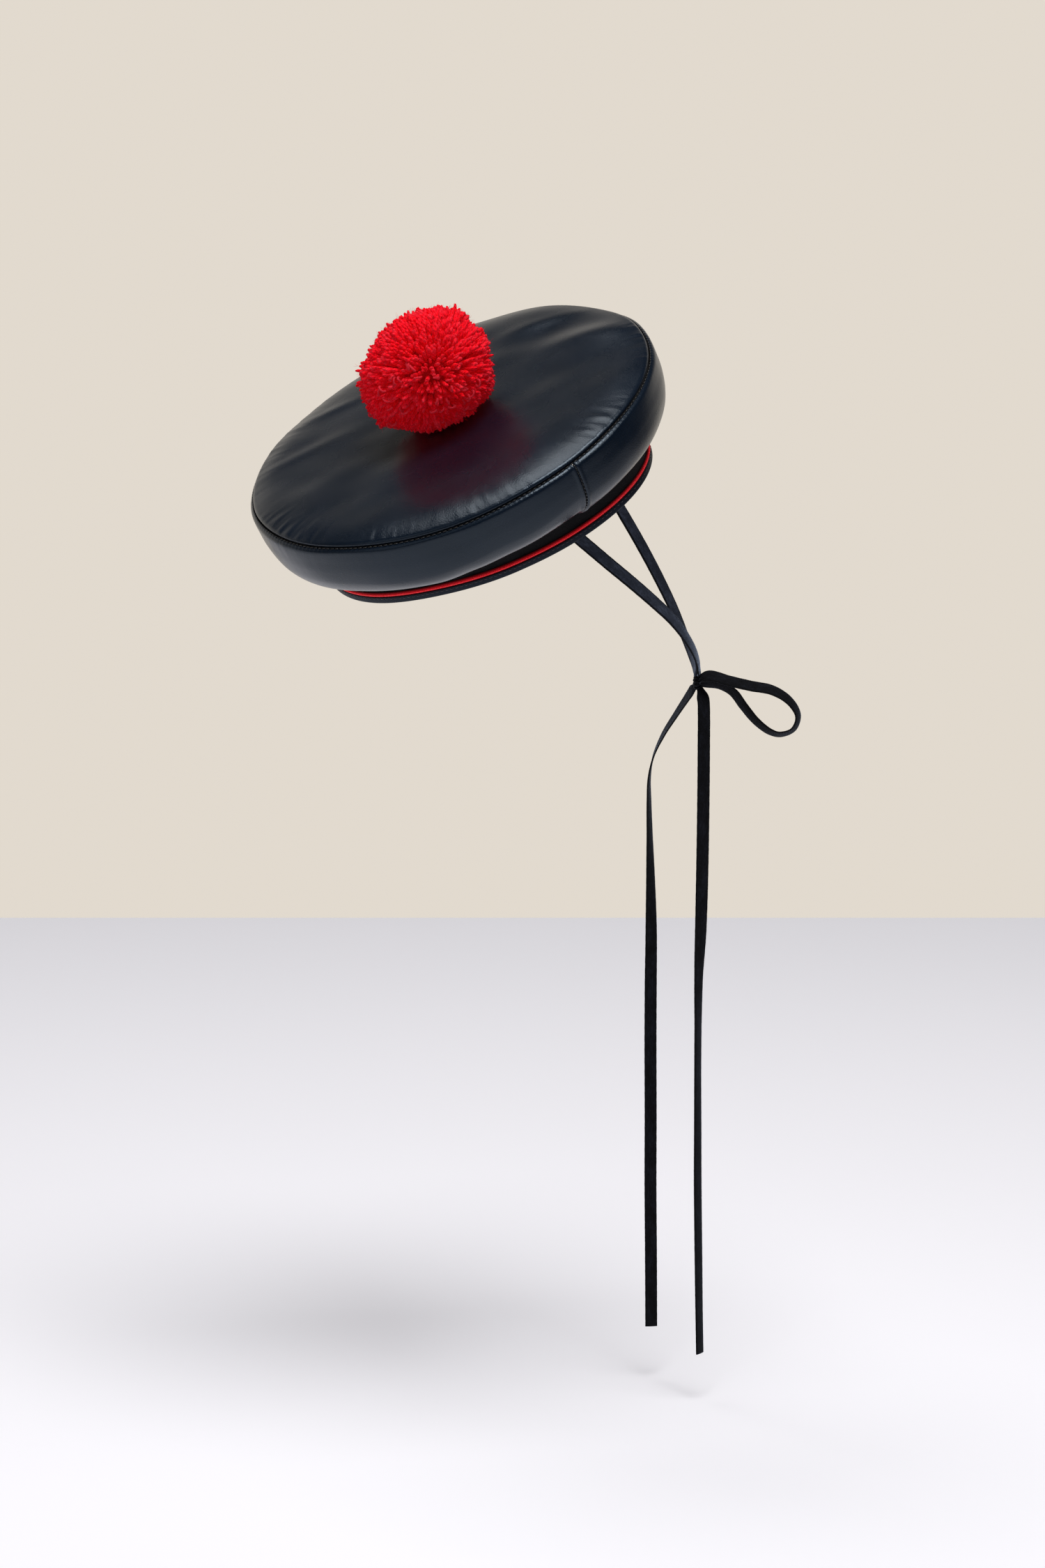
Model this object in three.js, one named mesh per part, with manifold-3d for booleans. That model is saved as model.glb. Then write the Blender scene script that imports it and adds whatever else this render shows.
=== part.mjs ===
// A round leather sailor hat with a wool pompom and two ribbon ties, in the form it has when worn.
// Millimetres. +Z is up, the wearer looks along +X, and the wearer's left is +Y.
// The origin is the middle of the head opening, in the plane of the band's lower edge.
// The hat itself is drawn upright in its own frame and then tipped as one group.
import * as THREE from "three";
import { mergeVertices } from "three/addons/utils/BufferGeometryUtils.js";
import Module from "manifold-3d";

const wasm = await Module();
wasm.setup();

// How the hat sits on the head, in degrees
const LEAN_RIGHT = 22;
const TIP_BACK = 21.9;
const TURN_LEFT = 2;

// Head opening, an oval measured over the outside of the band
const OPENING_HALF_LENGTH = 101.5;
const OPENING_HALF_WIDTH = 83.5;

// Round section that the oval is stretched from
const BAND_RADIUS = 94;
const SEAM_RADIUS = 125;
const SEAM_HEIGHT = 61.5;

// Walls and trims
const LEATHER = 1.6;
const BAND_WALL = 2.2;
const BAND_TOP = 20.5;
const BINDING_WALL = 1;
const BINDING_HEIGHT = 4;
const BRAID_HEIGHT = 3;
const BRAID_DEPTH = 1.7;
const GAP = 0.3;
const SEGMENTS = 56;

// Pompom
const POMPOM_RADIUS = 38.4;
const POMPOM_CORE = 33;
const POMPOM_RISE = 36.6; // its middle above the seam
const POMPOM_FORWARD = 1; // its middle in front of the crown's
const LOCKS = 64;
const LOCK_TIP = 5.4;
const LOCK_ROOT = 8.4;
const LOCK_UNEVENNESS = 0.9; // how far a lock's end is above or below the pompom's radius
const CLOSE_TRIM = { x: -0.46, y: 0.26, z: 0.85, depth: 3.4 }; // the side where it is cut shorter

// Ribbon
const RIBBON_WIDTH = 7.4;
const RIBBON_THICKNESS = 1;

// Outer face of the side panel, from the band up to the seam
const SIDE_LINE = [
  { radius: 94.45, height: 18.6 },
  { radius: 96.5, height: 19.6 },
  { radius: 104, height: 21.4 },
  { radius: 113, height: 24.6 },
  { radius: 120, height: 29.5 },
  { radius: 124.6, height: 37 },
  { radius: 126.6, height: 45.5 },
  { radius: 127, height: 53 },
  { radius: 126.2, height: 59.2 },
  { radius: 125.05, height: 61.3 },
];

// Outer face of the top panel, from the seam in to the middle
const TOP_LINE = [
  { radius: 124.6, height: 61.6 },
  { radius: 121, height: 63.6 },
  { radius: 113, height: 65 },
  { radius: 98, height: 65.6 },
  { radius: 76, height: 65.8 },
  { radius: 52, height: 65.9 },
  { radius: 27, height: 66 },
  { radius: 0, height: 66 },
];

// Slow rise and fall of the crown's edge round the hat, by the angle from the front to the left
const EDGE_RISE = [
  { angle: -180, rise: 1.4 },
  { angle: -158, rise: 2.8 },
  { angle: -130, rise: 1.7 },
  { angle: -88, rise: -1.2 },
  { angle: -60, rise: -0.4 },
  { angle: -35, rise: 0.6 },
  { angle: 0, rise: 0.3 },
  { angle: 20, rise: 1.8 },
  { angle: 38, rise: 0.2 },
  { angle: 57, rise: 1.2 },
  { angle: 80, rise: -1 },
  { angle: 135, rise: -1.3 },
  { angle: 158, rise: 1.1 },
  { angle: 180, rise: 1.4 },
];

// How far the side panel's lower part sags over the band, by the same angle
const PANEL_SAG = [
  { angle: -180, drop: 2.6 },
  { angle: -150, drop: 2.6 },
  { angle: -136, drop: 2 },
  { angle: -116, drop: 2.9 },
  { angle: -102, drop: 2.6 },
  { angle: -90, drop: 1.1 },
  { angle: -78, drop: 0 },
  { angle: -64, drop: -0.9 },
  { angle: -50, drop: 1 },
  { angle: -20, drop: 0.5 },
  { angle: 120, drop: 0.5 },
  { angle: 180, drop: 2.6 },
];
const SAG_HEIGHT = 37; // below it the whole drop, above it less and less up to the seam

// Soft folds of the top panel: middle, heading from the front to the left in degrees, and size
const FOLDS = [
  { x: -75, y: 71, heading: 10, length: 28, width: 9, height: 1.8 },
  { x: -97, y: 23, heading: 13, length: 30, width: 9, height: 1.6 },
  { x: -84, y: 47, heading: 12, length: 30, width: 12, height: -1.2 },
  { x: 74, y: 41, heading: -3, length: 42, width: 10, height: 2.2 },
  { x: 78, y: 61, heading: -2, length: 28, width: 9, height: -1.2 },
  { x: 76, y: 80, heading: 0, length: 18, width: 9, height: 1.5 },
];

// Ties: points along the middle line, and roll, the turn of the ribbon's face in degrees from
// looking at the wearer's right to looking out of the curve
const STRAP_RIGHT = [
  { x: 44.1, y: -71.5, z: -1.5, roll: 13 },
  { x: 49.8, y: -67.8, z: -6.5, roll: 13 },
  { x: 57.5, y: -63.5, z: -13.4, roll: 13 },
  { x: 69.9, y: -57.5, z: -24.5, roll: 16 },
  { x: 79.7, y: -51.5, z: -33.2, roll: 20 },
  { x: 89.5, y: -44, z: -42.3, roll: 25 },
  { x: 98.1, y: -36.5, z: -50.7, roll: 31 },
  { x: 105.7, y: -29, z: -58.6, roll: 38 },
  { x: 111.6, y: -22, z: -66.1, roll: 46 },
  { x: 116.4, y: -15, z: -73.6, roll: 54 },
  { x: 120, y: -9, z: -80.2, roll: 62 },
  { x: 122.6, y: -3, z: -86.9, roll: 70 },
  { x: 123.8, y: 1, z: -92.7, roll: 76 },
  { x: 124, y: 3.4, z: -97.7, roll: 80 },
];
const STRAP_LEFT = [
  { x: 39.7, y: 56.3, z: 48.2, roll: 139 },
  { x: 45.4, y: 57.6, z: 42, roll: 140 },
  { x: 50.5, y: 59.2, z: 36, roll: 143 },
  { x: 60, y: 61.3, z: 23.5, roll: 148 },
  { x: 71, y: 61.8, z: 7, roll: 152 },
  { x: 82, y: 59.5, z: -11, roll: 153 },
  { x: 92.5, y: 54.5, z: -29, roll: 151 },
  { x: 102, y: 47, z: -46.5, roll: 146 },
  { x: 110, y: 38, z: -62.5, roll: 139 },
  { x: 116, y: 28, z: -76.5, roll: 130 },
  { x: 120, y: 18.5, z: -87.5, roll: 119 },
  { x: 121.9, y: 11.5, z: -94, roll: 108 },
  { x: 122.3, y: 8, z: -97.7, roll: 102 },
];
const BOW_LOOP = [
  { x: 125.9, y: -0.5, z: -98.6, roll: 40 },
  { x: 130.7, y: -1.5, z: -97.3, roll: 40 },
  { x: 141.7, y: -4, z: -100, roll: 41 },
  { x: 154.3, y: -8, z: -102.4, roll: 43 },
  { x: 166.5, y: -11, z: -104.4, roll: 47 },
  { x: 175.9, y: -12, z: -109.7, roll: 55 },
  { x: 181.4, y: -11, z: -116.9, roll: 62 },
  { x: 182.3, y: -10, z: -122, roll: 64 },
  { x: 179.6, y: -8, z: -128.6, roll: 62 },
  { x: 172.5, y: -4, z: -132.1, roll: 58 },
  { x: 166, y: 0, z: -131.1, roll: 54 },
  { x: 157.9, y: 4, z: -125.4, roll: 50 },
  { x: 150.5, y: 6.5, z: -116.7, roll: 46 },
  { x: 144.3, y: 8, z: -108.7, roll: 44 },
  { x: 136, y: 8.4, z: -104.3, roll: 42 },
  { x: 125.9, y: 8, z: -103.5, roll: 42 },
];
const TAIL_RIGHT = [
  { x: 125, y: 3.4, z: -107, roll: 16 },
  { x: 126.6, y: 1.6, z: -112, roll: 10 },
  { x: 127, y: 0, z: -122.7, roll: 4 },
  { x: 127, y: 0, z: -135.3, roll: 0 },
  { x: 127, y: 0, z: -160.4, roll: 0 },
  { x: 126.8, y: 0, z: -194, roll: 2 },
  { x: 126.4, y: 0, z: -227.8, roll: 8 },
  { x: 125.9, y: 0, z: -253.2, roll: 22 },
  { x: 125, y: 0, z: -278.7, roll: 46 },
  { x: 124.8, y: 0, z: -308.6, roll: 56 },
  { x: 124.8, y: 0, z: -338.5, roll: 57 },
  { x: 125, y: 0, z: -372.9, roll: 54 },
  { x: 125.2, y: 0, z: -407.4, roll: 52 },
  { x: 125.9, y: 0, z: -450.7, roll: 52 },
  { x: 126.5, y: 0, z: -485.5, roll: 54 },
  { x: 127.1, y: 0, z: -512.6, roll: 54 },
];
const TAIL_LEFT = [
  { x: 120.8, y: 11.5, z: -107, roll: 118 },
  { x: 117.2, y: 19, z: -114.2, roll: 112 },
  { x: 111.3, y: 28, z: -125.2, roll: 106 },
  { x: 103.9, y: 36.5, z: -139, roll: 100 },
  { x: 98.3, y: 41.5, z: -153, roll: 88 },
  { x: 96.1, y: 43.5, z: -165.7, roll: 78 },
  { x: 96, y: 44, z: -180.5, roll: 70 },
  { x: 96.5, y: 44, z: -201.9, roll: 62 },
  { x: 97.2, y: 44, z: -231, roll: 44 },
  { x: 97.6, y: 44, z: -262.1, roll: 20 },
  { x: 97.4, y: 44, z: -296, roll: 4 },
  { x: 97.4, y: 44, z: -331.3, roll: 0 },
  { x: 97.7, y: 44, z: -375, roll: 0 },
  { x: 97.8, y: 44, z: -418.7, roll: 0 },
  { x: 98.3, y: 44, z: -462.7, roll: 2 },
  { x: 98.7, y: 44, z: -508.3, roll: 6 },
];
const KNOT = { x: 122.6, y: 5, z: -102.4, halfHeight: 4.2 };

const LEATHER_NAVY = { color: 0x0e1119, roughness: 0.34, metalness: 0 };
const BAND_BLACK = { color: 0x08080a, roughness: 0.7, metalness: 0 };
const BINDING_NAVY = { color: 0x14161f, roughness: 0.5, metalness: 0 };
const BRAID_RED = { color: 0xc41621, roughness: 0.6, metalness: 0 };
const WOOL_RED = { color: 0xd0121c, roughness: 0.95, metalness: 0 };
const VELVET_BLACK = { color: 0x07070a, roughness: 0.9, metalness: 0 };

const radians = THREE.MathUtils.degToRad;

function piece(name, geometry, look) {
  const mesh = new THREE.Mesh(geometry, new THREE.MeshStandardMaterial(look));
  mesh.name = name;
  return mesh;
}

// A smooth line through the rows of a section table, in the same form
function smoothLine(rows, steps) {
  const curve = new THREE.SplineCurve(rows.map((row) => new THREE.Vector2(row.radius, row.height)));
  return curve.getPoints(steps).map((point) => ({ radius: point.x, height: point.y }));
}

// The inner face of a wall, whose outer face goes up and over towards the axis. Its two ends are
// cut upright.
function innerLine(outer, thickness) {
  const last = outer.length - 1;
  return outer.map((point, i) => {
    const before = outer[Math.max(i - 1, 0)];
    const after = outer[Math.min(i + 1, last)];
    const along = new THREE.Vector2(after.radius - before.radius, after.height - before.height);
    if (i === 0 || i === last) along.y = 0;
    along.normalize();
    return {
      radius: point.radius - along.y * thickness,
      height: point.height + along.x * thickness,
    };
  });
}

// One vertex at each corner, so that a surface that meets itself is closed
function joinCorners(geometry) {
  geometry.deleteAttribute("normal");
  geometry.deleteAttribute("uv");
  return mergeVertices(geometry, 1e-4);
}

// Turns a section, drawn anticlockwise, round the upright axis
function revolve(section, segments) {
  const profile = section.map((point) => new THREE.Vector2(point.radius, point.height));
  const geometry = new THREE.LatheGeometry(profile, segments);
  geometry.rotateX(Math.PI / 2);
  return joinCorners(geometry);
}

function revolveRing(section) {
  return revolve([...section, section[0]], SEGMENTS);
}

function moveVertices(geometry, place) {
  const position = geometry.getAttribute("position");
  const vertex = new THREE.Vector3();
  for (let i = 0; i < position.count; i += 1) {
    vertex.fromBufferAttribute(position, i);
    place(vertex);
    position.setXYZ(i, vertex.x, vertex.y, vertex.z);
  }
  geometry.computeVertexNormals();
  return geometry;
}

function ovalRadius(angle) {
  const across = OPENING_HALF_WIDTH * Math.cos(angle);
  const along = OPENING_HALF_LENGTH * Math.sin(angle);
  return (OPENING_HALF_LENGTH * OPENING_HALF_WIDTH) / Math.hypot(across, along);
}

// A column of a table whose rows go round the hat, with soft steps between the rows
function roundTheHat(rows, column, angle) {
  const degrees = THREE.MathUtils.radToDeg(angle);
  const after = Math.max(rows.findIndex((row) => row.angle >= degrees), 1);
  const low = rows[after - 1];
  const high = rows[after];
  const share = THREE.MathUtils.smoothstep(degrees, low.angle, high.angle);
  return THREE.MathUtils.lerp(low[column], high[column], share);
}

function foldHeight(x, y) {
  return FOLDS.reduce((sum, fold) => {
    const heading = radians(fold.heading);
    const along = (x - fold.x) * Math.cos(heading) + (y - fold.y) * Math.sin(heading);
    const across = (y - fold.y) * Math.cos(heading) - (x - fold.x) * Math.sin(heading);
    return sum + fold.height * Math.exp(-((along / fold.length) ** 2) - (across / fold.width) ** 2);
  }, 0);
}

// Stretches the round section to the oval opening. Beyond the seam it stays round.
function fitOpening(vertex) {
  const radius = Math.hypot(vertex.x, vertex.y);
  const angle = Math.atan2(vertex.y, vertex.x);
  const share = THREE.MathUtils.clamp((radius - BAND_RADIUS) / (SEAM_RADIUS - BAND_RADIUS), 0, 1);
  const stretched = ovalRadius(angle) + share * (SEAM_RADIUS - ovalRadius(angle));
  const rest = radius - BAND_RADIUS - share * (SEAM_RADIUS - BAND_RADIUS);
  vertex.x = Math.cos(angle) * (stretched + rest);
  vertex.y = Math.sin(angle) * (stretched + rest);
  vertex.z += roundTheHat(EDGE_RISE, "rise", angle) * share;
}

function fitSide(vertex) {
  const angle = Math.atan2(vertex.y, vertex.x);
  const share = 1 - THREE.MathUtils.smoothstep(vertex.z, SAG_HEIGHT, SEAM_HEIGHT);
  fitOpening(vertex);
  vertex.z -= roundTheHat(PANEL_SAG, "drop", angle) * share;
}

function fitTop(vertex) {
  const share = Math.min(Math.hypot(vertex.x, vertex.y) / SEAM_RADIUS, 1);
  const angle = Math.atan2(vertex.y, vertex.x);
  vertex.z += roundTheHat(EDGE_RISE, "rise", angle) * share ** 3;
  vertex.z += foldHeight(vertex.x, vertex.y) * (1 - share ** 12);
}

function crownTop() {
  const outer = smoothLine(TOP_LINE, 11);
  const inner = innerLine(outer, LEATHER).reverse();
  return piece(
    "crown_top",
    moveVertices(revolve([...inner, ...outer], SEGMENTS), fitTop),
    LEATHER_NAVY,
  );
}

function crownSide() {
  const outer = smoothLine(SIDE_LINE, 11);
  const inner = innerLine(outer, LEATHER).reverse();
  return piece("crown_side", moveVertices(revolveRing([...outer, ...inner]), fitSide), LEATHER_NAVY);
}

function headband() {
  const foot = BINDING_WALL + GAP;
  const section = [
    { radius: BAND_RADIUS, height: foot },
    { radius: BAND_RADIUS, height: BAND_TOP },
    { radius: BAND_RADIUS - BAND_WALL, height: BAND_TOP },
    { radius: BAND_RADIUS - BAND_WALL, height: foot },
  ];
  return piece("headband", moveVertices(revolveRing(section), fitOpening), BAND_BLACK);
}

// Folded over the band's lower edge, with one leg on each face of it
function bandBinding() {
  const outside = BAND_RADIUS + GAP + BINDING_WALL;
  const inside = BAND_RADIUS - BAND_WALL - GAP - BINDING_WALL;
  const section = [
    { radius: outside - BINDING_WALL / 2, height: 0 },
    { radius: outside, height: BINDING_WALL },
    { radius: outside, height: BINDING_HEIGHT },
    { radius: outside - BINDING_WALL, height: BINDING_HEIGHT },
    { radius: outside - BINDING_WALL, height: BINDING_WALL },
    { radius: inside + BINDING_WALL, height: BINDING_WALL },
    { radius: inside + BINDING_WALL, height: BINDING_HEIGHT },
    { radius: inside, height: BINDING_HEIGHT },
    { radius: inside, height: BINDING_WALL },
    { radius: inside + BINDING_WALL / 2, height: 0 },
  ];
  return piece("band_binding", moveVertices(revolveRing(section), fitOpening), BINDING_NAVY);
}

// A flat back and a raised middle rib
function redBraid() {
  const back = BAND_RADIUS + GAP;
  const low = BINDING_HEIGHT + GAP;
  const section = [
    { radius: back, height: low },
    { radius: back + BRAID_DEPTH * 0.6, height: low },
    { radius: back + BRAID_DEPTH, height: low + BRAID_HEIGHT / 2 },
    { radius: back + BRAID_DEPTH * 0.6, height: low + BRAID_HEIGHT },
    { radius: back, height: low + BRAID_HEIGHT },
  ];
  return piece("red_braid", moveVertices(revolveRing(section), fitOpening), BRAID_RED);
}

function toSolid(geometry) {
  const merged = joinCorners(geometry);
  return new wasm.Manifold(
    new wasm.Mesh({
      numProp: 3,
      vertProperties: merged.getAttribute("position").array,
      triVerts: new Uint32Array(merged.index.array),
    }),
  );
}

function fromSolid(solid) {
  const mesh = solid.getMesh();
  const geometry = new THREE.BufferGeometry();
  geometry.setAttribute("position", new THREE.BufferAttribute(mesh.vertProperties, 3));
  geometry.setIndex(new THREE.BufferAttribute(mesh.triVerts, 1));
  geometry.computeVertexNormals();
  return geometry;
}

// Blunt locks of yarn all round a ball, which sits flat on the top panel
function pompom() {
  const goldenAngle = Math.PI * (3 - Math.sqrt(5));
  const closeSide = new THREE.Vector3(CLOSE_TRIM.x, CLOSE_TRIM.y, CLOSE_TRIM.z);
  let ball = toSolid(new THREE.SphereGeometry(POMPOM_CORE, 14, 10));
  for (let i = 0; i < LOCKS; i += 1) {
    const up = 1 - (2 * i + 1) / LOCKS;
    const around = Math.sqrt(1 - up * up);
    const direction = new THREE.Vector3(
      around * Math.cos(i * goldenAngle),
      around * Math.sin(i * goldenAngle),
      up,
    );
    const trimmed = CLOSE_TRIM.depth * Math.max(direction.dot(closeSide), 0) ** 3;
    const reach = POMPOM_RADIUS + LOCK_UNEVENNESS * Math.sin(i * 2.4) - trimmed;
    const lockLength = reach - POMPOM_CORE + LOCK_ROOT;
    const lock = new THREE.CylinderGeometry(LOCK_TIP, LOCK_ROOT, lockLength, 6, 1);
    lock.rotateY(i);
    lock.translate(0, reach - lockLength / 2, 0);
    lock.applyQuaternion(
      new THREE.Quaternion().setFromUnitVectors(new THREE.Vector3(0, 1, 0), direction),
    );
    ball = ball.add(toSolid(lock));
  }
  const seat = TOP_LINE[TOP_LINE.length - 1].height - SEAM_HEIGHT - POMPOM_RISE + GAP;
  const below = new THREE.BoxGeometry(3 * POMPOM_RADIUS, 3 * POMPOM_RADIUS, POMPOM_RADIUS);
  below.translate(0, 0, seat - POMPOM_RADIUS / 2);
  const mesh = piece("pompom", fromSolid(ball.subtract(toSolid(below))), WOOL_RED);
  mesh.position.set(POMPOM_FORWARD, 0, SEAM_HEIGHT + POMPOM_RISE);
  return mesh;
}

// A flat ribbon along the table's points
function ribbon(name, rows, steps) {
  const curve = new THREE.CatmullRomCurve3(
    rows.map((row) => new THREE.Vector3(row.x, row.y, row.z)),
    false,
    "centripetal",
  );
  const box = new THREE.BoxGeometry(RIBBON_WIDTH, RIBBON_THICKNESS, 1, 1, 1, steps);
  const geometry = joinCorners(box);
  const right = new THREE.Vector3(0, -1, 0);
  moveVertices(geometry, (vertex) => {
    const share = vertex.z + 0.5;
    const t = curve.getUtoTmapping(share);
    const along = curve.getTangent(t);
    const row = Math.min(Math.floor(t * (rows.length - 1)), rows.length - 2);
    const between = t * (rows.length - 1) - row;
    const roll = radians(THREE.MathUtils.lerp(rows[row].roll, rows[row + 1].roll, between));
    const side = right.clone().addScaledVector(along, -right.dot(along)).normalize();
    const outward = side.clone().cross(along);
    const face = side.clone().multiplyScalar(Math.cos(roll)).addScaledVector(outward, Math.sin(roll));
    const across = face.clone().cross(along);
    const middle = curve.getPoint(t);
    middle.addScaledVector(across, vertex.x).addScaledVector(face, vertex.y);
    vertex.copy(middle);
  });
  return piece(name, geometry, VELVET_BLACK);
}

// Three turns of ribbon, pulled tight
function bowKnot() {
  const section = [
    { radius: 0, height: -1 },
    { radius: 0.75, height: -0.95 },
    { radius: 1, height: -0.66 },
    { radius: 0.86, height: -0.36 },
    { radius: 1.06, height: 0 },
    { radius: 0.86, height: 0.36 },
    { radius: 1, height: 0.66 },
    { radius: 0.75, height: 0.95 },
    { radius: 0, height: 1 },
  ];
  const geometry = revolve(section, 12);
  geometry.scale(2.6, 4.2, KNOT.halfHeight);
  const mesh = piece("bow_knot", geometry, VELVET_BLACK);
  mesh.position.set(KNOT.x, KNOT.y, KNOT.z);
  return mesh;
}

const hat = new THREE.Group();
hat.rotation.set(radians(LEAN_RIGHT), radians(-TIP_BACK), radians(TURN_LEFT));
hat.add(crownTop(), crownSide(), headband(), bandBinding(), redBraid(), pompom());

const ties = new THREE.Group();
ties.add(
  ribbon("strap_right", STRAP_RIGHT, 14),
  ribbon("strap_left", STRAP_LEFT, 14),
  ribbon("bow_loop", BOW_LOOP, 24),
  ribbon("tail_right", TAIL_RIGHT, 16),
  ribbon("tail_left", TAIL_LEFT, 16),
  bowKnot(),
);

const sailorHat = new THREE.Group();
sailorHat.add(hat, ties);

export default sailorHat;
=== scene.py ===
import math

import bmesh
import bpy
import numpy as np
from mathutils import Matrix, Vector


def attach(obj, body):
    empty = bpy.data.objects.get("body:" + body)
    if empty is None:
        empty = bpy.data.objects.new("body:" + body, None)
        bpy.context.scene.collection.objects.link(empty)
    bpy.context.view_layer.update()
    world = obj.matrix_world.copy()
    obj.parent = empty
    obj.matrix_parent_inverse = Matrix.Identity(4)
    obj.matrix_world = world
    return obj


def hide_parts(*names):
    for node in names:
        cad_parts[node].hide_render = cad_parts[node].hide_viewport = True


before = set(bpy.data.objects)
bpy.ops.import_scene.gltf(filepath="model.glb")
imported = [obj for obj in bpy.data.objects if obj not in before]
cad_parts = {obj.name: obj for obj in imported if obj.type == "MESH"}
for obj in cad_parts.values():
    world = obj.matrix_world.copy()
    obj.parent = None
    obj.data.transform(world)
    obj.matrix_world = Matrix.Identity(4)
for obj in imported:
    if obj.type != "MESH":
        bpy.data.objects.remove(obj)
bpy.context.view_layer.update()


def table(names, *rows):
    """A table as a dictionary of its columns, with those in millimetres turned into metres."""
    columns = {}
    for name, column in zip(names.split(), np.array(rows, float).T):
        in_metres = (column / 1000).round(7)
        columns[name.removesuffix("_mm")] = in_metres if name.endswith("_mm") else column
    return columns


# How the hat sits on the head, in degrees
LEAN_RIGHT = 22
TIP_BACK = 21.9
TURN_LEFT = 2

# Head opening and the round section that it is stretched from
OPENING_HALF_LENGTH = 0.1015
OPENING_HALF_WIDTH = 0.0835
BAND_RADIUS = 0.094
SEAM_RADIUS = 0.125
SEAM_HEIGHT = 0.0615
CROWN_TOP = 0.0673

# Walls and trims
LEATHER = 0.0014
BAND_WALL = 0.0022
BAND_TOP = 0.0205
BINDING_WALL = 0.001
BINDING_HEIGHT = 0.0043
BRAID_HEIGHT = 0.0027
BRAID_DEPTH = 0.0017
GAP = 0.0003
STITCH_PITCH = 0.0033
STITCH_DEPTH = 0.00016
SEAM_STITCHES = round(2 * math.pi * SEAM_RADIUS / STITCH_PITCH)
BINDING_STITCHES = round(2 * math.pi * BAND_RADIUS / STITCH_PITCH)
TOPSTITCH_HEIGHT = BINDING_HEIGHT - 0.0012
THREAD = 0.00028

# Pompom. Its parts are placed from its middle, and CROWN_BELOW is the crown's height from there
POMPOM_RADIUS = 0.0367
POMPOM_CORE = 0.0305
POMPOM_RISE = 0.0366
POMPOM_FORWARD = 0.001
POMPOM_MIDDLE = np.array([POMPOM_FORWARD, 0, SEAM_HEIGHT + POMPOM_RISE])
CROWN_BELOW = CROWN_TOP - SEAM_HEIGHT - POMPOM_RISE
STRANDS = 3500
STRAND_SIDES = 6
TUFT = 6
TUFTING = 0.3
PLIES = 2
PLY_PITCH = 0.0034
PLY_SCALE = 4 * math.pi / 10
STRAND_RADIUS = 0.00100
STRAND_LENGTH = 0.0125
STRAND_LEAN = 0.0072
PARTING = (0.155, -0.987, 0.04)
FIBRES = 6500
FIBRE_RADIUS = 0.00006
CURLS = 60
CURL_RADIUS = 0.0006
CURL_SHADE = 1.38
# Painted shade: the heart of the pompom is painted dark, as the shade between the strands.
HEART_PAINTED_SHADE = 0.3
# Painted light: the wool and the braid glow by a share of their own colour. On the wool it stands in for
# light scattered among the fibres, on the braid for light bounced up from below.
WOOL_PAINTED_GLOW = 0.085
BRAID_PAINTED_GLOW = 0.22

# Ribbon
RIBBON_WIDTH = 0.0074
RIBBON_THICKNESS = 0.001
RIBBON_STEP = 0.0012
SELVEDGE = 0.0008
INTO_KNOT = 0.55
GATHER_REACH = 0.0075
GATHER = 0.5

# Ties: points along the middle line and roll in degrees
ROUTE = "x_mm y_mm z_mm roll"
STRAP_RIGHT = table(
    ROUTE,
    (44.1, -71.5, -1.5, 13),
    (49.8, -67.8, -6.5, 13),
    (57.5, -63.5, -13.4, 13),
    (69.9, -57.5, -24.5, 16),
    (79.7, -51.5, -33.2, 20),
    (89.5, -44, -42.3, 25),
    (98.1, -36.5, -50.7, 31),
    (105.7, -29, -58.6, 38),
    (111.6, -22, -66.1, 46),
    (116.4, -15, -73.6, 54),
    (120, -9, -80.2, 62),
    (122.6, -3, -86.9, 70),
    (123.8, 1, -92.7, 76),
    (124, 3.4, -97.7, 80),
)
STRAP_LEFT = table(
    ROUTE,
    (39.7, 56.3, 48.2, 139),
    (45.4, 57.6, 42, 140),
    (50.5, 59.2, 36, 143),
    (60, 61.3, 23.5, 148),
    (71, 61.8, 7, 152),
    (82, 59.5, -11, 153),
    (92.5, 54.5, -29, 151),
    (102, 47, -46.5, 146),
    (110, 38, -62.5, 139),
    (116, 28, -76.5, 130),
    (120, 18.5, -87.5, 119),
    (121.9, 11.5, -94, 108),
    (122.3, 8, -97.7, 102),
)
BOW_LOOP = table(
    ROUTE,
    (125.9, -0.5, -98.6, 40),
    (130.7, -1.5, -97.3, 40),
    (141.7, -4, -100, 41),
    (154.3, -8, -102.4, 43),
    (166.5, -11, -104.4, 47),
    (175.9, -12, -109.7, 55),
    (181.4, -11, -116.9, 62),
    (182.3, -10, -122, 64),
    (179.6, -8, -128.6, 62),
    (172.5, -4, -132.1, 58),
    (166, 0, -131.1, 54),
    (157.9, 4, -125.4, 50),
    (150.5, 6.5, -116.7, 46),
    (144.3, 8, -108.7, 44),
    (136, 8.4, -104.3, 42),
    (125.9, 8, -103.5, 42),
)
TAIL_RIGHT = table(
    ROUTE,
    (125, 3.4, -107, 16),
    (126.6, 1.6, -112, 10),
    (127, 0, -122.7, 4),
    (127, 0, -135.3, 0),
    (127, 0, -160.4, 0),
    (126.8, 0, -194, 2),
    (126.4, 0, -227.8, 8),
    (125.9, 0, -253.2, 22),
    (125, 0, -278.7, 46),
    (124.8, 0, -308.6, 56),
    (124.8, 0, -338.5, 57),
    (125, 0, -372.9, 54),
    (125.2, 0, -407.4, 52),
    (125.9, 0, -450.7, 52),
    (126.5, 0, -485.5, 54),
    (127.1, 0, -512.6, 54),
)
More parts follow.
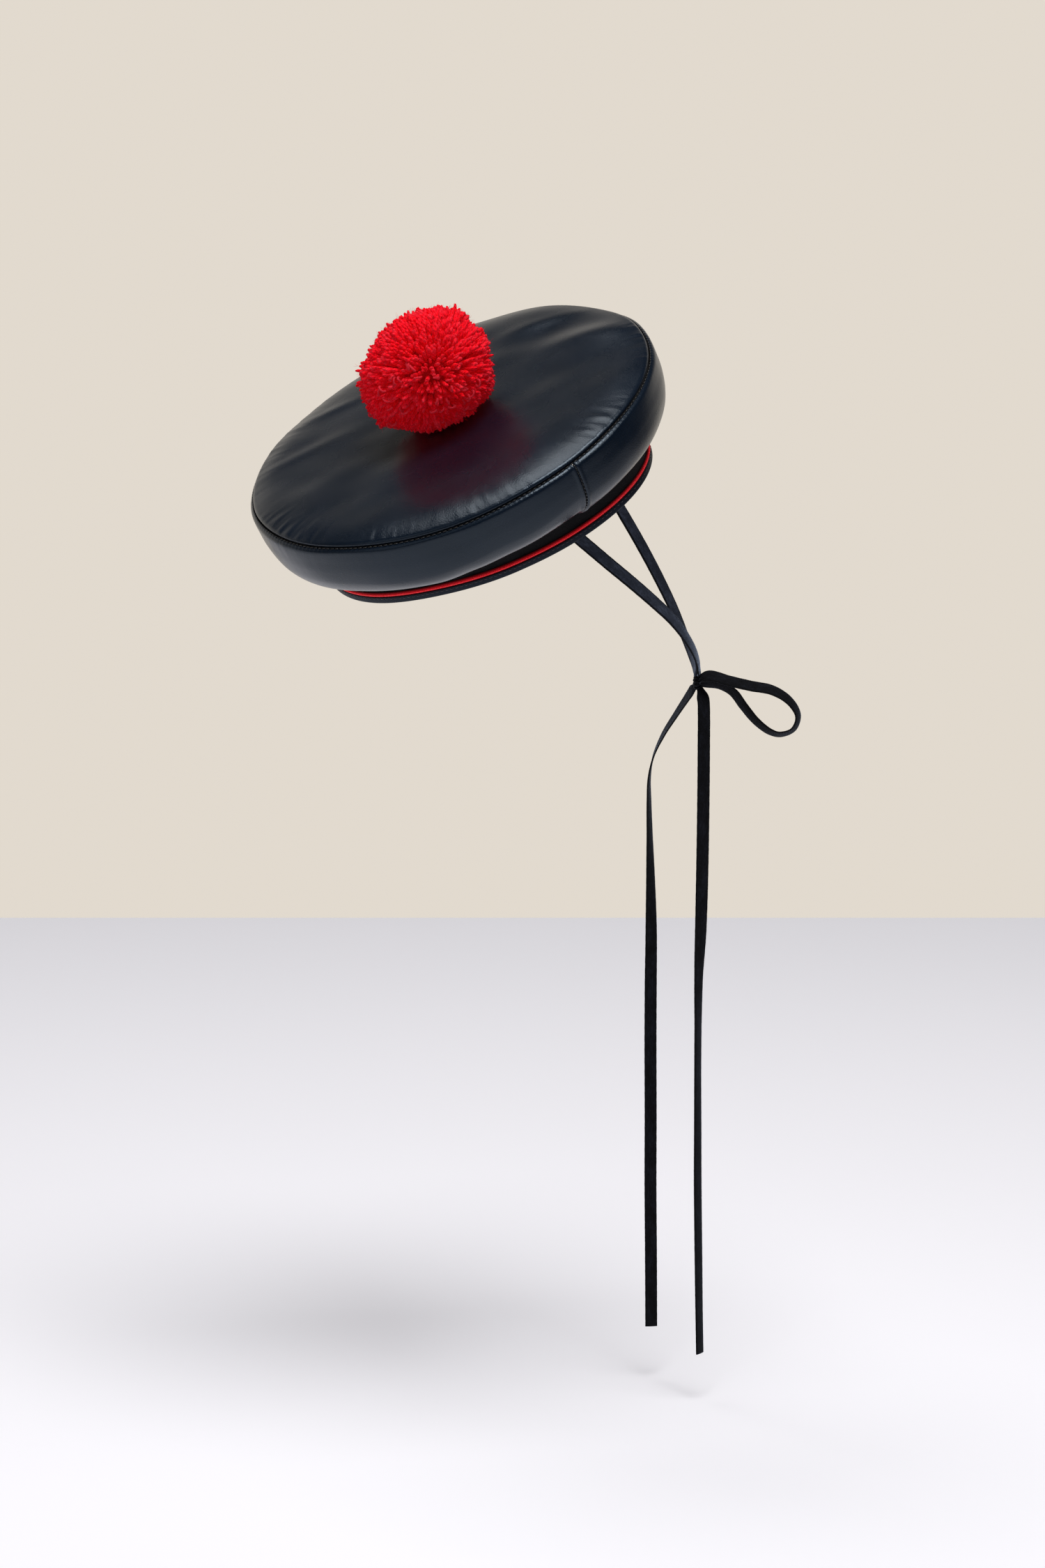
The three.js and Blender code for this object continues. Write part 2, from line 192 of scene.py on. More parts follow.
TAIL_LEFT = table(
    ROUTE,
    (120.8, 11.5, -107, 118),
    (117.2, 19, -114.2, 112),
    (111.3, 28, -125.2, 106),
    (103.9, 36.5, -139, 100),
    (98.3, 41.5, -153, 88),
    (96.1, 43.5, -165.7, 78),
    (96, 44, -180.5, 70),
    (96.5, 44, -201.9, 62),
    (97.2, 44, -231, 44),
    (97.6, 44, -262.1, 20),
    (97.4, 44, -296, 4),
    (97.4, 44, -331.3, 0),
    (97.7, 44, -375, 0),
    (97.8, 44, -418.7, 0),
    (98.3, 44, -462.7, 2),
    (98.7, 44, -508.3, 6),
)
KNOT = (0.1226, 0.005, -0.1024)
KNOT_HALF_HEIGHT = 0.0042

# Crown sections, from the outside in and from the band up
TOP_SECTION = table(
    "radius_mm height_mm",
    (121.4, 59.4),
    (122.8, 60),
    (123.8, 61),
    (123.9, 62),
    (122.9, 63),
    (120.5, 63.8),
    (116.5, 64.8),
    (112, 65.6),
    (106, 66.2),
    (96, 66.7),
    (76, 67.1),
    (52, 67.3),
    (27, 67.3),
    (3, 67.3),
)
SIDE_SECTION = table(
    "radius_mm height_mm",
    (94.45, 18.9),
    (95.2, 18.7),
    (97.5, 19.6),
    (104, 21.4),
    (113, 24.6),
    (120, 29.5),
    (124.6, 37),
    (126.6, 45.5),
    (127.05, 52.5),
    (127.1, 56.5),
    (126.95, 58.3),
    (126.4, 59.3),
    (125.6, 59.9),
    (124.9, 60.2),
    (124.4, 60),
    (124, 59),
)
EDGE_RISE = table(
    "angle rise_mm",
    (-180, 1.4),
    (-158, 2.8),
    (-130, 1.7),
    (-88, -1.2),
    (-60, -0.4),
    (-35, 0.6),
    (0, 0.3),
    (20, 1.8),
    (38, 0.2),
    (57, 1.2),
    (80, -1),
    (135, -1.3),
    (158, 1.1),
    (180, 1.4),
)
BAND_DROP = table(
    "angle drop_mm",
    (-180, 0.6),
    (-150, 1.2),
    (-115, 0.2),
    (-80, 1.2),
    (-55, 1.6),
    (-20, 1.9),
    (10, 1.7),
    (60, 0.6),
    (100, 0),
    (180, 0.6),
)
PANEL_SAG = table(
    "angle drop_mm",
    (-180, 2.6),
    (-150, 2.6),
    (-136, 2),
    (-116, 2.9),
    (-102, 2.6),
    (-90, 1.1),
    (-78, 0),
    (-56, -0.7),
    (-54, 0.8),
    (-45, 1),
    (-20, 0.5),
    (120, 0.5),
    (180, 2.6),
)
SAG_HEIGHT = 0.037
# How much of the braid's half height the middle rib takes
RIB_SHARE = 0.56

# Folds of the top panel, the broad ones first
FOLDS = table(
    "x_mm y_mm heading length_mm width_mm height_mm",
    (-74.6, 66.7, 6, 24, 5.5, 0.5),
    (-94.2, 20.9, 11, 26, 6.2, 0.48),
    (-80, -8, -31, 34, 12, 0.25),
    (68, 77.2, -2, 26, 6.5, 0.6),
    (88.3, 37.9, -12, 36, 10, 0.9),
    (85.4, 20.3, -4, 14, 8, 0.25),
    (70, 60, -5, 28, 11, -0.6),
    (102, 33, -10, 18, 12, 0.8),
)
# Gathers beside the seam: middle angle and spread in degrees, their spacing, reach and depth
PUCKERS = table(
    "angle spread pitch_mm reach_mm depth_mm",
    (-148, 14, 9.5, 14, 0.11),
    (-111, 9, 7, 10, 0.07),
    (-78, 16, 15, 20, 0.08),
    (-74, 22, 6.5, 13, 0.04),
    (-38, 9, 14, 20, 0.18),
    (-37, 10, 6.5, 14, 0.05),
    (6, 12, 8.5, 9, 0.1),
    (150, 26, 10, 14, 0.08),
)
# What a set of gathers is made of: share of the spacing, height, phase, and how much each leans
CREASES = table(
    "rate height phase lean",
    (0.53, 0.7, 0.3, 90),
    (0.81, 0.7, 2.1, -130),
    (1.00, 0.8, 4.4, 160),
    (1.37, 0.5, 1.2, -60),
    (1.91, 0.3, 5.0, 220),
)
# Slow waves of the leather: heading in degrees, length of a wave, height and phase
WAVES = table(
    "heading length_mm height_mm phase",
    (20, 71, 0.14, 0.4),
    (75, 53, 0.11, 2.1),
    (130, 38, 0.07, 4.0),
    (165, 47, 0.09, 5.2),
    (50, 29, 0.04, 1.3),
    (105, 23, 0.03, 3.3),
)
SIDE_PUCKER_SHARE = 0.4
SIDE_JOINT_ANGLE = -55
JOINT_HALF_WIDTH = 0.0045
# How uneven the pompom's cut is, by the angle round it as seen from its parting, from +X to +Z
POMPOM_CUT = table(
    "angle extra_mm",
    (-180, 1.8),
    (-150, 2.8),
    (-135, 3.1),
    (-118, -0.6),
    (-105, -4),
    (-90, -3.2),
    (-65, -4.5),
    (-35, -2.4),
    (-15, 0.8),
    (0, 0.2),
    (15, -0.6),
    (30, 2.4),
    (45, 0.5),
    (60, 3.3),
    (75, 1.2),
    (90, -1.8),
    (130, -3.4),
    (150, -3),
    (165, -2.6),
    (180, 1.8),
)

CAMERA_PLACE = (0.0194, -2.7358, 0.2953)
CAMERA_PITCH = 9.5
CAMERA_LENS = 107.2
FLOOR_HEIGHT = -0.542
FLOOR_BACK = 1.516
FLOOR_FRONT = -6
FLOOR_SIDE = 5
BACKDROP_TONE = (0.76, 0.70, 0.62)
FRONT_TONE = (0.07, 0.07, 0.075)
UPPER_TONE = (0.02, 0.021, 0.025)
BACKDROP_TURN = math.radians(-15)


def add_object(name, data):
    made = bpy.data.objects.new(name, data)
    bpy.context.collection.objects.link(made)
    return made


def make_camera():
    data = bpy.data.cameras.new("camera")
    data.sensor_width = 36
    data.lens = CAMERA_LENS
    camera = add_object("camera", data)
    camera.location = CAMERA_PLACE
    camera.rotation_euler = (math.radians(90 - CAMERA_PITCH), 0, 0)
    bpy.context.scene.camera = camera


def turn_matrix():
    def turn(axis, degrees):
        c, s = math.cos(math.radians(degrees)), math.sin(math.radians(degrees))
        a, b = [(1, 2), (2, 0), (0, 1)][axis]
        m = np.eye(3)
        m[a, a], m[a, b], m[b, a], m[b, b] = c, -s, s, c
        return m

    return turn(0, LEAN_RIGHT) @ turn(1, -TIP_BACK) @ turn(2, TURN_LEFT)


HAT_TURN = turn_matrix()


def in_world(points):
    """Points of the upright hat, tipped as it is worn."""
    return points @ HAT_TURN.T


class Shape:
    """Points and faces that become one mesh."""

    def __init__(self):
        self.points, self.faces, self.corners, self.shades, self.slots = [], [], [], [], []
        self.count = 0

    def add_points(self, points, shade):
        first = self.count
        points = np.asarray(points, float).reshape(-1, 3)
        self.points.append(points)
        self.shades.append(np.zeros(len(points)) + np.asarray(shade, float).ravel())
        self.count += len(points)
        return first

    def grid(self, points, u, v, closed=False, shade=1.0, slot=0, caps=False):
        """Quads between rows of points. Each row is a ring, and closed joins the last row to the first."""
        rows, columns = points.shape[:2]
        first = self.add_points(points, shade)
        i = np.arange(rows if closed else rows - 1)[:, None]
        j = np.arange(columns)[None, :]
        low, high = i * columns + first, (i + 1) % rows * columns + first
        j2 = (j + 1) % columns
        self.faces += np.stack([low + j, low + j2, high + j2, high + j], -1).reshape(-1, 4).tolist()
        u = np.append(u, u[-1] * 2 - u[-2])
        v = np.append(v, v[-1] * 2 - v[-2])
        around = ((i, j), (i, j + 1), (i + 1, j + 1), (i + 1, j))
        corners = [np.stack(np.broadcast_arrays(u[b], v[a]), -1) for a, b in around]
        self.corners.append(np.stack(corners, 2).reshape(-1, 2))
        self.slots += [slot] * (len(i) * columns)
        if caps:
            self.fan(first, columns, points[0].mean(0), slot, reverse=True)
            self.fan(first + (rows - 1) * columns, columns, points[-1].mean(0), slot)

    def fan(self, first, count, middle, slot=0, reverse=False, shade=None):
        centre = self.add_points(middle, self.shades[-1][-1] if shade is None else shade)
        ring = [first + k for k in range(count)]
        pairs = zip(ring, ring[1:] + ring[:1])
        self.faces += [[b, a, centre] if reverse else [a, b, centre] for a, b in pairs]
        self.corners.append(np.zeros((3 * count, 2)))
        self.slots += [slot] * count

    def tip(self):
        """Tips all points as the hat is worn."""
        self.points = [in_world(p) for p in self.points]

    def to_object(self, name, materials, replaced=(), recalculate=True):
        mesh = bpy.data.meshes.new(name)
        mesh.from_pydata(np.concatenate(self.points).tolist(), [], self.faces)
        layer = mesh.uv_layers.new(name="along")
        layer.data.foreach_set("uv", np.concatenate(self.corners).ravel())
        # The shade attribute is a colour factor per point. On the pompom it carries painted shade at the
        # strand roots and on the heart as well as random tone, and on the braid painted highlight and
        # painted shade.
        shade = mesh.color_attributes.new("shade", "FLOAT_COLOR", "POINT")
        values = np.repeat(np.concatenate(self.shades)[:, None], 4, 1)
        values[:, 3] = 1
        shade.data.foreach_set("color", values.ravel())
        mesh.polygons.foreach_set("material_index", self.slots)
        mesh.polygons.foreach_set("use_smooth", [True] * len(self.faces))
        for item in materials:
            mesh.materials.append(item)
        mesh.validate()
        if recalculate:
            face_out(mesh)
        piece = add_object(name, mesh)
        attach(piece, "root")
        if replaced:
            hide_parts(*replaced)
        return piece


def face_out(mesh):
    work = bmesh.new()
    work.from_mesh(mesh)
    bmesh.ops.recalc_face_normals(work, faces=work.faces)
    work.to_mesh(mesh)
    work.free()


def smooth_line(section, samples):
    """Points of a smooth line through a section's rows, at the given row numbers."""
    rows = np.stack([section["radius"], section["height"]], -1)
    last = len(rows) - 1
    i = np.clip(samples.astype(int), 0, last - 1)
    t = (samples - i)[:, None]
    p0, p1, p2, p3 = rows[np.maximum(i - 1, 0)], rows[i], rows[i + 1], rows[np.minimum(i + 2, last)]
    v0, v1 = (p2 - p0) / 2, (p3 - p1) / 2
    return (2 * p1 - 2 * p2 + v0 + v1) * t**3 + (3 * p2 - 3 * p1 - 2 * v0 - v1) * t**2 + v0 * t + p1


def spaced(section, spacing):
    """Points of a smooth line, about as far apart as spacing says for their radius."""
    fine = smooth_line(section, np.linspace(0, len(section["radius"]) - 1, 4000))
    run = np.concatenate([[0], np.cumsum(np.hypot(*np.diff(fine, axis=0).T))])
    places, at = [], 0.0
    while at < run[-1]:
        places.append(at)
        at += spacing(np.interp(at, run, fine[:, 0]))
    places.append(run[-1])
    return np.stack([np.interp(places, run, fine[:, 0]), np.interp(places, run, fine[:, 1])], -1)


def unit(vectors):
    return vectors / np.linalg.norm(vectors, axis=-1, keepdims=True)


def tangents(line):
    return unit(np.gradient(line, axis=0))


def normals_of(line):
    """Unit normals of a section line, to the left of its way."""
    along = tangents(line)
    return np.stack([-along[:, 1], along[:, 0]], -1)


def circle(count):
    return np.linspace(0, 2 * math.pi, count, endpoint=False)


def tube(line, side, over, turn, size):
    """Rings of points round a line. side and over span the plane of each ring."""
    ring = side[..., None, :] * np.cos(turn)[..., None] + over[..., None, :] * np.sin(turn)[..., None]
    return line[:, None] + ring * size


def round_the_hat(rows, column, angle):
    """A table's column at each angle, with a soft change from row to row."""
    degrees = np.degrees(angle)
    after = np.clip(np.searchsorted(rows["angle"], degrees), 1, len(rows["angle"]) - 1)
    low, high = rows["angle"][after - 1], rows["angle"][after]
    share = np.clip((degrees - low) / (high - low), 0, 1)
    share = share * share * (3 - 2 * share)
    return rows[column][after - 1] * (1 - share) + rows[column][after] * share


def smoothstep(value, low, high):
    share = np.clip((value - low) / (high - low), 0, 1)
    return share * share * (3 - 2 * share)


def oval_radius(angle):
    across = OPENING_HALF_WIDTH * np.cos(angle)
    along = OPENING_HALF_LENGTH * np.sin(angle)
    return OPENING_HALF_LENGTH * OPENING_HALF_WIDTH / np.hypot(across, along)


def fit_opening(radius, height, angle):
    """Points of the round section, stretched to the oval opening, in the hat's own frame."""
    share = np.clip((radius - BAND_RADIUS) / (SEAM_RADIUS - BAND_RADIUS), 0, 1)
    stretched = oval_radius(angle) + share * (SEAM_RADIUS - oval_radius(angle))
    out = stretched + radius - BAND_RADIUS - share * (SEAM_RADIUS - BAND_RADIUS)
    rise = height + round_the_hat(EDGE_RISE, "rise", angle) * share
    rise = rise - round_the_hat(BAND_DROP, "drop", angle) * (1 - share) ** 2
    return np.stack([out * np.cos(angle), out * np.sin(angle), rise], -1)


def fold_height(x, y):
    total = 0 * x * y
    for fx, fy, heading, length, width, height in zip(*FOLDS.values()):
        c, s = math.cos(math.radians(heading)), math.sin(math.radians(heading))
        along = (x - fx) * c + (y - fy) * s
        across = (y - fy) * c - (x - fx) * s
        total = total + height * np.exp(-((along / length) ** 2) - (across / width) ** 2)
    return total


def wave_height(x, y):
    total = 0 * x * y
    for heading, length, height, phase in zip(*WAVES.values()):
        c, s = math.cos(math.radians(heading)), math.sin(math.radians(heading))
        total = total + height * np.sin(2 * math.pi * (x * c + y * s) / length + phase)
    return total


def pucker_height(angle, distance):
    """Gathers that run in from the seam, a little aslant, and die away with the distance from it."""
    total = 0 * angle * distance
    for middle, spread, pitch, reach, depth in zip(*PUCKERS.values()):
        off = (np.degrees(angle) - middle + 180) % 360 - 180
        ripple = 0 * total
        for rate, height, phase, lean in zip(*CREASES.values()):
            count = round(rate * 2 * math.pi * SEAM_RADIUS / pitch)
            ripple = ripple + height * np.sin(count * angle + phase + lean * distance)
        total = total + depth * np.exp(-((off / spread) ** 2) - (distance / reach) ** 2) * ripple
    return total


def stitch_pull(angle, distance, reach):
    """The leather drawn in a little at each stitch."""
    near = np.exp(-((distance / reach) ** 2))
    return -STITCH_DEPTH * (0.5 + 0.5 * np.cos(SEAM_STITCHES * angle)) * near


def ring_angles(count):
    return np.linspace(-math.pi, math.pi, count, endpoint=False)


def crown_top(materials):
    columns = 760
    angle = ring_angles(columns)[None, :]
    outer = spaced(TOP_SECTION, lambda r: 0.00045 if r > 0.115 else 0.0011 if r > 0.09 else 0.0021)
    radius, height = outer[:, :1], outer[:, 1:]
    x, y = radius * np.cos(angle), radius * np.sin(angle)
    share = np.minimum(radius / SEAM_RADIUS, 1)
    distance = np.maximum(SEAM_RADIUS - radius, 0)
    z = height + round_the_hat(EDGE_RISE, "rise", angle) * share**3
    z = z + (fold_height(x, y) + wave_height(x, y)) * (1 - share**12)
    z = z + pucker_height(angle, distance) * smoothstep(distance, 0.0002, 0.003)
    z = z + stitch_pull(angle, distance, 0.0016)
    face = np.stack([x, y, z], -1)
    back_rows = np.linspace(0, len(outer) - 1, 16).astype(int)
    back = face[back_rows] * (0.999, 0.999, 1) - (0, 0, LEATHER)
    u = angle[0] * SEAM_RADIUS
    shape = Shape()
    for slot, points, v in ((0, face, np.arange(len(outer)) * 1.0), (1, back, back_rows * 1.0)):
        shape.grid(points, u, v, slot=slot)
        shape.fan(shape.count - columns, columns, (0, 0, points[-1, :, 2].mean()), slot)
    shape.grid(np.stack([face[0], back[0]]), u, np.array([0.0, 1.0]), slot=1)
    shape.tip()
    return shape.to_object("leather_crown_top", materials, ["crown_top"])


def crown_side(materials):
    joint = math.radians(SIDE_JOINT_ANGLE)
    half = JOINT_HALF_WIDTH / SEAM_RADIUS
    beside = joint + np.linspace(-half, half, 37)
    even = ring_angles(700)
    even = even[np.abs(even - joint) > half + 0.0001 / SEAM_RADIUS]
    angle = np.sort(np.concatenate([even, beside]))[None, :]
    outer = spaced(SIDE_SECTION, lambda r: 0.0006 if r > 0.1235 else 0.0013)
    normal = -normals_of(outer)
    radius, height = outer[:, :1], outer[:, 1:]
    from_seam = np.concatenate([[0], np.cumsum(np.hypot(*np.diff(outer, axis=0).T))])
    from_seam = np.abs(from_seam[-1] - 0.0022 - from_seam)[:, None]
    s = (angle - joint) * SEAM_RADIUS
    groove = -0.0010 * np.exp(-((s / 0.00045) ** 2))
    groove += 0.0004 * np.exp(-((np.abs(s) - 0.0016) / 0.0013) ** 2)
    edge = smoothstep(from_seam, 0.0002, 0.004)
    push = groove * smoothstep(height, 0.020, 0.024)
    push = push + SIDE_PUCKER_SHARE * pucker_height(angle, from_seam) * edge
    push = push + wave_height(angle * SEAM_RADIUS, height * 1.4) * edge
    push = push + stitch_pull(angle, from_seam, 0.0022)
    r = radius + normal[:, :1] * push
    h = height + normal[:, 1:] * push
    points = fit_side(r, h, angle)
    inner = outer[::4] - normal[::4] * LEATHER
    inner = np.vstack([inner, outer[-1:] - normal[-1:] * LEATHER])[::-1]
    inner_points = fit_side(inner[:, :1] + 0 * angle, inner[:, 1:] + 0 * angle, angle)
    shape = Shape()
    u = angle[0] * SEAM_RADIUS
    shape.grid(points, u, np.arange(len(outer)) * 1.0)
    shape.grid(inner_points, u, np.arange(len(inner)) * 1.0, slot=1)
    for a, b in ((points[-1], inner_points[0]), (inner_points[-1], points[0])):
        shape.grid(np.stack([a, b]), u, np.array([0.0, 1.0]))
    shape.tip()
    return shape.to_object("leather_crown_side", materials, ["crown_side"])


def fit_side(radius, height, angle):
    share = 1 - smoothstep(height, SAG_HEIGHT, SEAM_HEIGHT)
    points = fit_opening(radius, height, angle + 0 * radius)
    points[..., 2] -= round_the_hat(PANEL_SAG, "drop", angle) * share
    return points


def ring_piece(name, section, materials, node, count=720, push=None, shade=None):
    """A closed section turned round the oval band."""
    angle = ring_angles(count)[None, :]
    section = np.array(section)
    radius, height = section[:, :1] + 0 * angle, section[:, 1:] + 0 * angle
    if push is not None:
        radius, height = push(radius, height, angle)
    shape = Shape()
    points = in_world(fit_opening(radius, height, angle + 0 * radius))
    v = np.concatenate([[0], np.cumsum(np.hypot(*np.diff(section, axis=0).T))])
    tone = 1.0 if shade is None else shade[:, None] + 0 * angle
    shape.grid(points, angle[0] * BAND_RADIUS, v, closed=True, shade=tone)
    return shape.to_object(name, materials, [node])


def rounded_section(corners, radius, steps=4):
    """A closed outline with its corners rounded."""
    out = []
    corners = [np.array(c, float) for c in corners]
    for k, corner in enumerate(corners):
        before, after = corners[k - 1] - corner, corners[(k + 1) % len(corners)] - corner
        cut = min(radius, 0.45 * np.hypot(*before), 0.45 * np.hypot(*after))
        first, last = corner + unit(before) * cut, corner + unit(after) * cut
        for t in np.linspace(0, 1, steps):
            out.append((1 - t) ** 2 * first + 2 * t * (1 - t) * corner + t**2 * last)
    return out


def headband(materials):
    foot = BINDING_WALL + GAP
    outer = [(BAND_RADIUS, h) for h in np.linspace(foot, BAND_TOP, 12)]
    inner = [(BAND_RADIUS - BAND_WALL, h) for h in np.linspace(BAND_TOP, foot, 8)]

    def push(radius, height, angle):
        soft = 0.00012 * np.sin(31 * angle + 90 * height) + 0.0001 * np.sin(17 * angle + 1)
        return radius + soft, height

    return ring_piece("cloth_band", outer + inner, materials, "headband", push=push)


def band_binding(materials):
    outside = BAND_RADIUS + GAP + BINDING_WALL
    inside = BAND_RADIUS - BAND_WALL - GAP - BINDING_WALL
    section = rounded_section(
        [
            (outside, 0),
            (outside, BINDING_HEIGHT),
            (outside - BINDING_WALL, BINDING_HEIGHT),
            (outside - BINDING_WALL, BINDING_WALL),
            (inside + BINDING_WALL, BINDING_WALL),
            (inside + BINDING_WALL, BINDING_HEIGHT),
            (inside, BINDING_HEIGHT),
            (inside, 0),
        ],
        0.0011,
        5,
    )

    def push(radius, height, angle):
        at_line = np.exp(-(((height - TOPSTITCH_HEIGHT) / 0.0006) ** 2)) * (radius > BAND_RADIUS)
        return radius - 0.00012 * at_line * (1 + 0.7 * np.cos(BINDING_STITCHES * angle)), height

    return ring_piece("binding_strip", section, materials, "band_binding", 1100, push)


def red_braid(materials):
    """A raised rib with a row of small beads on each side. Its shade attribute paints the crest of the rib
    bright, a painted highlight, and the rib's edges, the beads and the back dark red, a painted shade.
    """
    back = BAND_RADIUS + GAP
    low = BINDING_HEIGHT + GAP
    middle = low + BRAID_HEIGHT / 2
    half = BRAID_HEIGHT / 2
    face = []
    painted_rib_shading = []
    for t in np.linspace(-1, 1, 25):
        inner = max(0.0, 1 - (t / RIB_SHARE) ** 2) ** 0.5
        outer = max(0.0, 1 - ((abs(t) - 0.79) / 0.21) ** 2) ** 0.5
        rib = 0.30 + max(0.70 * inner, 0.25 * outer)
        face.append((back + BRAID_DEPTH * rib, middle + half * t))
        # Painted highlight along the rib's crest and painted shade on its edges and the beads.
        painted_rib_shading.append(0.3 + 0.7 * min(1.0, 1.6 * inner))
    section = [(back, low + 0.0001), *face, (back, low + BRAID_HEIGHT - 0.0001)]
    count = 520

    def push(radius, height, angle):
        t = (height - middle) / half
        outward = np.clip((radius - back) / BRAID_DEPTH, 0, 1)
        cord = 0.00006 * np.cos(count * angle + 3 * t)
        beads = 0.00026 * np.cos(count * angle + 9 * np.sign(t))
        return radius + np.where(np.abs(t) < RIB_SHARE, cord, beads) * outward, height

    shade = np.array([0.3, *painted_rib_shading, 0.3])
    return ring_piece("braid_cord", section, materials, "red_braid", 2600, push, shade)


def thread_stitches(name, places, ways, outs, length, materials, node_slot, thread=THREAD):
    """Short rounded bars of thread: their middles, the way they run and the way they face."""
    shape = Shape()
    ring = circle(6)
    rows = np.array([-1, -0.8, -0.3, 0.3, 0.8, 1])
    girth = np.array([0.35, 0.85, 1.0, 1.0, 0.85, 0.35])
    lift = np.array([-1.1, -0.35, 0.25, 0.25, -0.35, -1.1]) * thread
    for place, way, out in zip(places, ways, outs):
        middle = place + way * rows[:, None] * length / 2 + out * lift[:, None]
        points = tube(middle, np.cross(way, out), out, ring, (girth * thread)[:, None, None])
        shape.grid(points, ring, rows, caps=True)
    return shape.to_object(name, materials)


def seam_stitches(materials):
    angle = (np.arange(SEAM_STITCHES) + 0.5) * 2 * math.pi / SEAM_STITCHES
    angle = (angle + math.pi) % (2 * math.pi) - math.pi
    radius, height = SEAM_RADIUS - 0.0001, SEAM_HEIGHT - 0.0011
    points = in_world(fit_opening(radius + 0 * angle, height + 0 * angle, angle))
    ways = in_world(np.stack([-np.sin(angle), np.cos(angle), 0 * angle], -1))
    outs = in_world(np.stack([0.6 * np.cos(angle), 0.6 * np.sin(angle), 0.8 + 0 * angle], -1))
    return thread_stitches("seam_thread", points, ways, outs, 0.0026, materials, "crown_leather")


def joint_stitches(materials):
    line = spaced(SIDE_SECTION, lambda r: 0.0026)
    line = line[(line[:, 1] > 0.0235) & (line[:, 1] < 0.0595) & (line[:, 0] > 0.106)]
    normal = -normals_of(line)
    angle = np.full((1, 1), math.radians(SIDE_JOINT_ANGLE))

    def lifted(height):
        place = line + normal * height
        return fit_side(place[:, :1], place[:, 1:], angle)[:, 0]

    points = lifted(-0.0004)
    outs = unit(lifted(0.0006) - points)
    places = in_world(points), in_world(tangents(points)), in_world(outs)
    return thread_stitches("joint_thread", *places, 0.0021, materials, "crown_leather", 0.00042)


def binding_stitches(materials):
    angle = (np.arange(BINDING_STITCHES) + 0.5) * 2 * math.pi / BINDING_STITCHES - math.pi
    radius = BAND_RADIUS + GAP + BINDING_WALL - 0.00005 + 0 * angle
    height = TOPSTITCH_HEIGHT + 0 * angle
    points = fit_opening(radius, height, angle)
    ways = unit(fit_opening(radius, height, angle + 0.002) - points)
    outs = np.cross(ways, (0, 0, 1.0))
    places = in_world(points), in_world(ways), in_world(outs)
    return thread_stitches("binding_thread", *places, 0.0022, materials, "binding_leather")


def pompom_reach(direction):
    """How far the cut yarn reaches from the pompom's middle in each direction."""
    world = direction @ HAT_TURN.T
    extra = round_the_hat(POMPOM_CUT, "extra", np.arctan2(world[:, 2], world[:, 0]))
    return POMPOM_RADIUS + extra * (1 - world[:, 1] ** 2)


def pompom(materials):
    """Cut yarn that is combed outwards from a parting, and on the far side from the one opposite."""
    rng = np.random.default_rng(7)
    k = np.arange(STRANDS)
    up = 1 - (2 * k + 1) / STRANDS
    around = k * math.pi * (3 - math.sqrt(5))
    flat = np.sqrt(1 - up**2)
    direction = np.stack([flat * np.cos(around), flat * np.sin(around), up], -1)
    direction = unit(direction + rng.normal(0, 0.022, direction.shape))
    direction = direction[direction[:, 2] > -0.86]
    n = len(direction)
    parting = np.array(PARTING) @ HAT_TURN
    toward = direction @ parting
    comb = direction * toward[:, None] - parting
    comb *= STRAND_LEAN * 2 * toward[:, None]
    reach = pompom_reach(direction) + rng.normal(0, 0.0011, n)
    stray = rng.normal(0, 1, (n, 3))
    stray -= direction * np.sum(stray * direction, 1)[:, None]
    lean = comb + unit(stray) * rng.normal(0, 0.0015, n)[:, None]
    middles = rng.permutation(n)[: n // TUFT]
    nearest = np.argmax(direction @ direction[middles].T, axis=1)
    lean += TUFTING * POMPOM_RADIUS * (direction[middles][nearest] - direction)
    shade = rng.normal(1.0, 0.09, n) * rng.normal(1.0, 0.07, len(middles))[nearest]
    phase = rng.uniform(0, math.pi, n)
    thick = STRAND_RADIUS * rng.uniform(0.84, 1.16, n)
    rows = np.array([0.0, 0.4, 0.7, 0.9, 1.0])
    girth = np.array([0.8, 1.0, 1.15, 1.08, 0.6])
    # Painted shade: each strand is painted darker towards its root, where the strands shade each other,
    # and a little lighter at its tip.
    depth = np.array([0.42, 0.6, 0.8, 0.98, 1.1])
    ring = circle(STRAND_SIDES)
    girth = girth[:, None] * (1 + 0.13 * np.cos(2 * ring))
    shape = Shape()
    for i in range(n):
        line = direction[i] * (reach[i] - STRAND_LENGTH * (1 - rows))[:, None]
        line += lean[i] * (rows**1.6)[:, None]
        low = np.maximum(CROWN_BELOW + 0.0010 + thick[i] - line[:, 2], 0)
        line[:, :2] *= (1 + 0.5 * low / POMPOM_RADIUS)[:, None]
        line[:, 2] += low
        line += POMPOM_MIDDLE
        along = tangents(line)
        side = unit(np.cross(along, (0.31, 0.43, 0.85)))
        turn = ring + (phase[i] + 3.0 * rows)[:, None]
        points = tube(line, side, np.cross(along, side), turn, (thick[i] * girth)[..., None])
        tone = depth * shade[i]
        run = rows * STRAND_LENGTH * PLIES / (PLY_PITCH * 2) + i * 0.7
        shape.grid(points, ring / (2 * math.pi), run, shade=np.repeat(tone, STRAND_SIDES))
        tip = points[-1].mean(0) + along[-1] * 0.0003
        shape.fan(shape.count - STRAND_SIDES, STRAND_SIDES, tip, shade=tone[-1])
    shape.tip()
    shape.to_object("pompom_yarn", materials, ["pompom"], recalculate=False)
    pompom_core(materials)
    pompom_fuzz(materials, direction, reach, rng, shade, lean)
    pompom_curls(materials, direction[toward > 0], reach[toward > 0], rng)


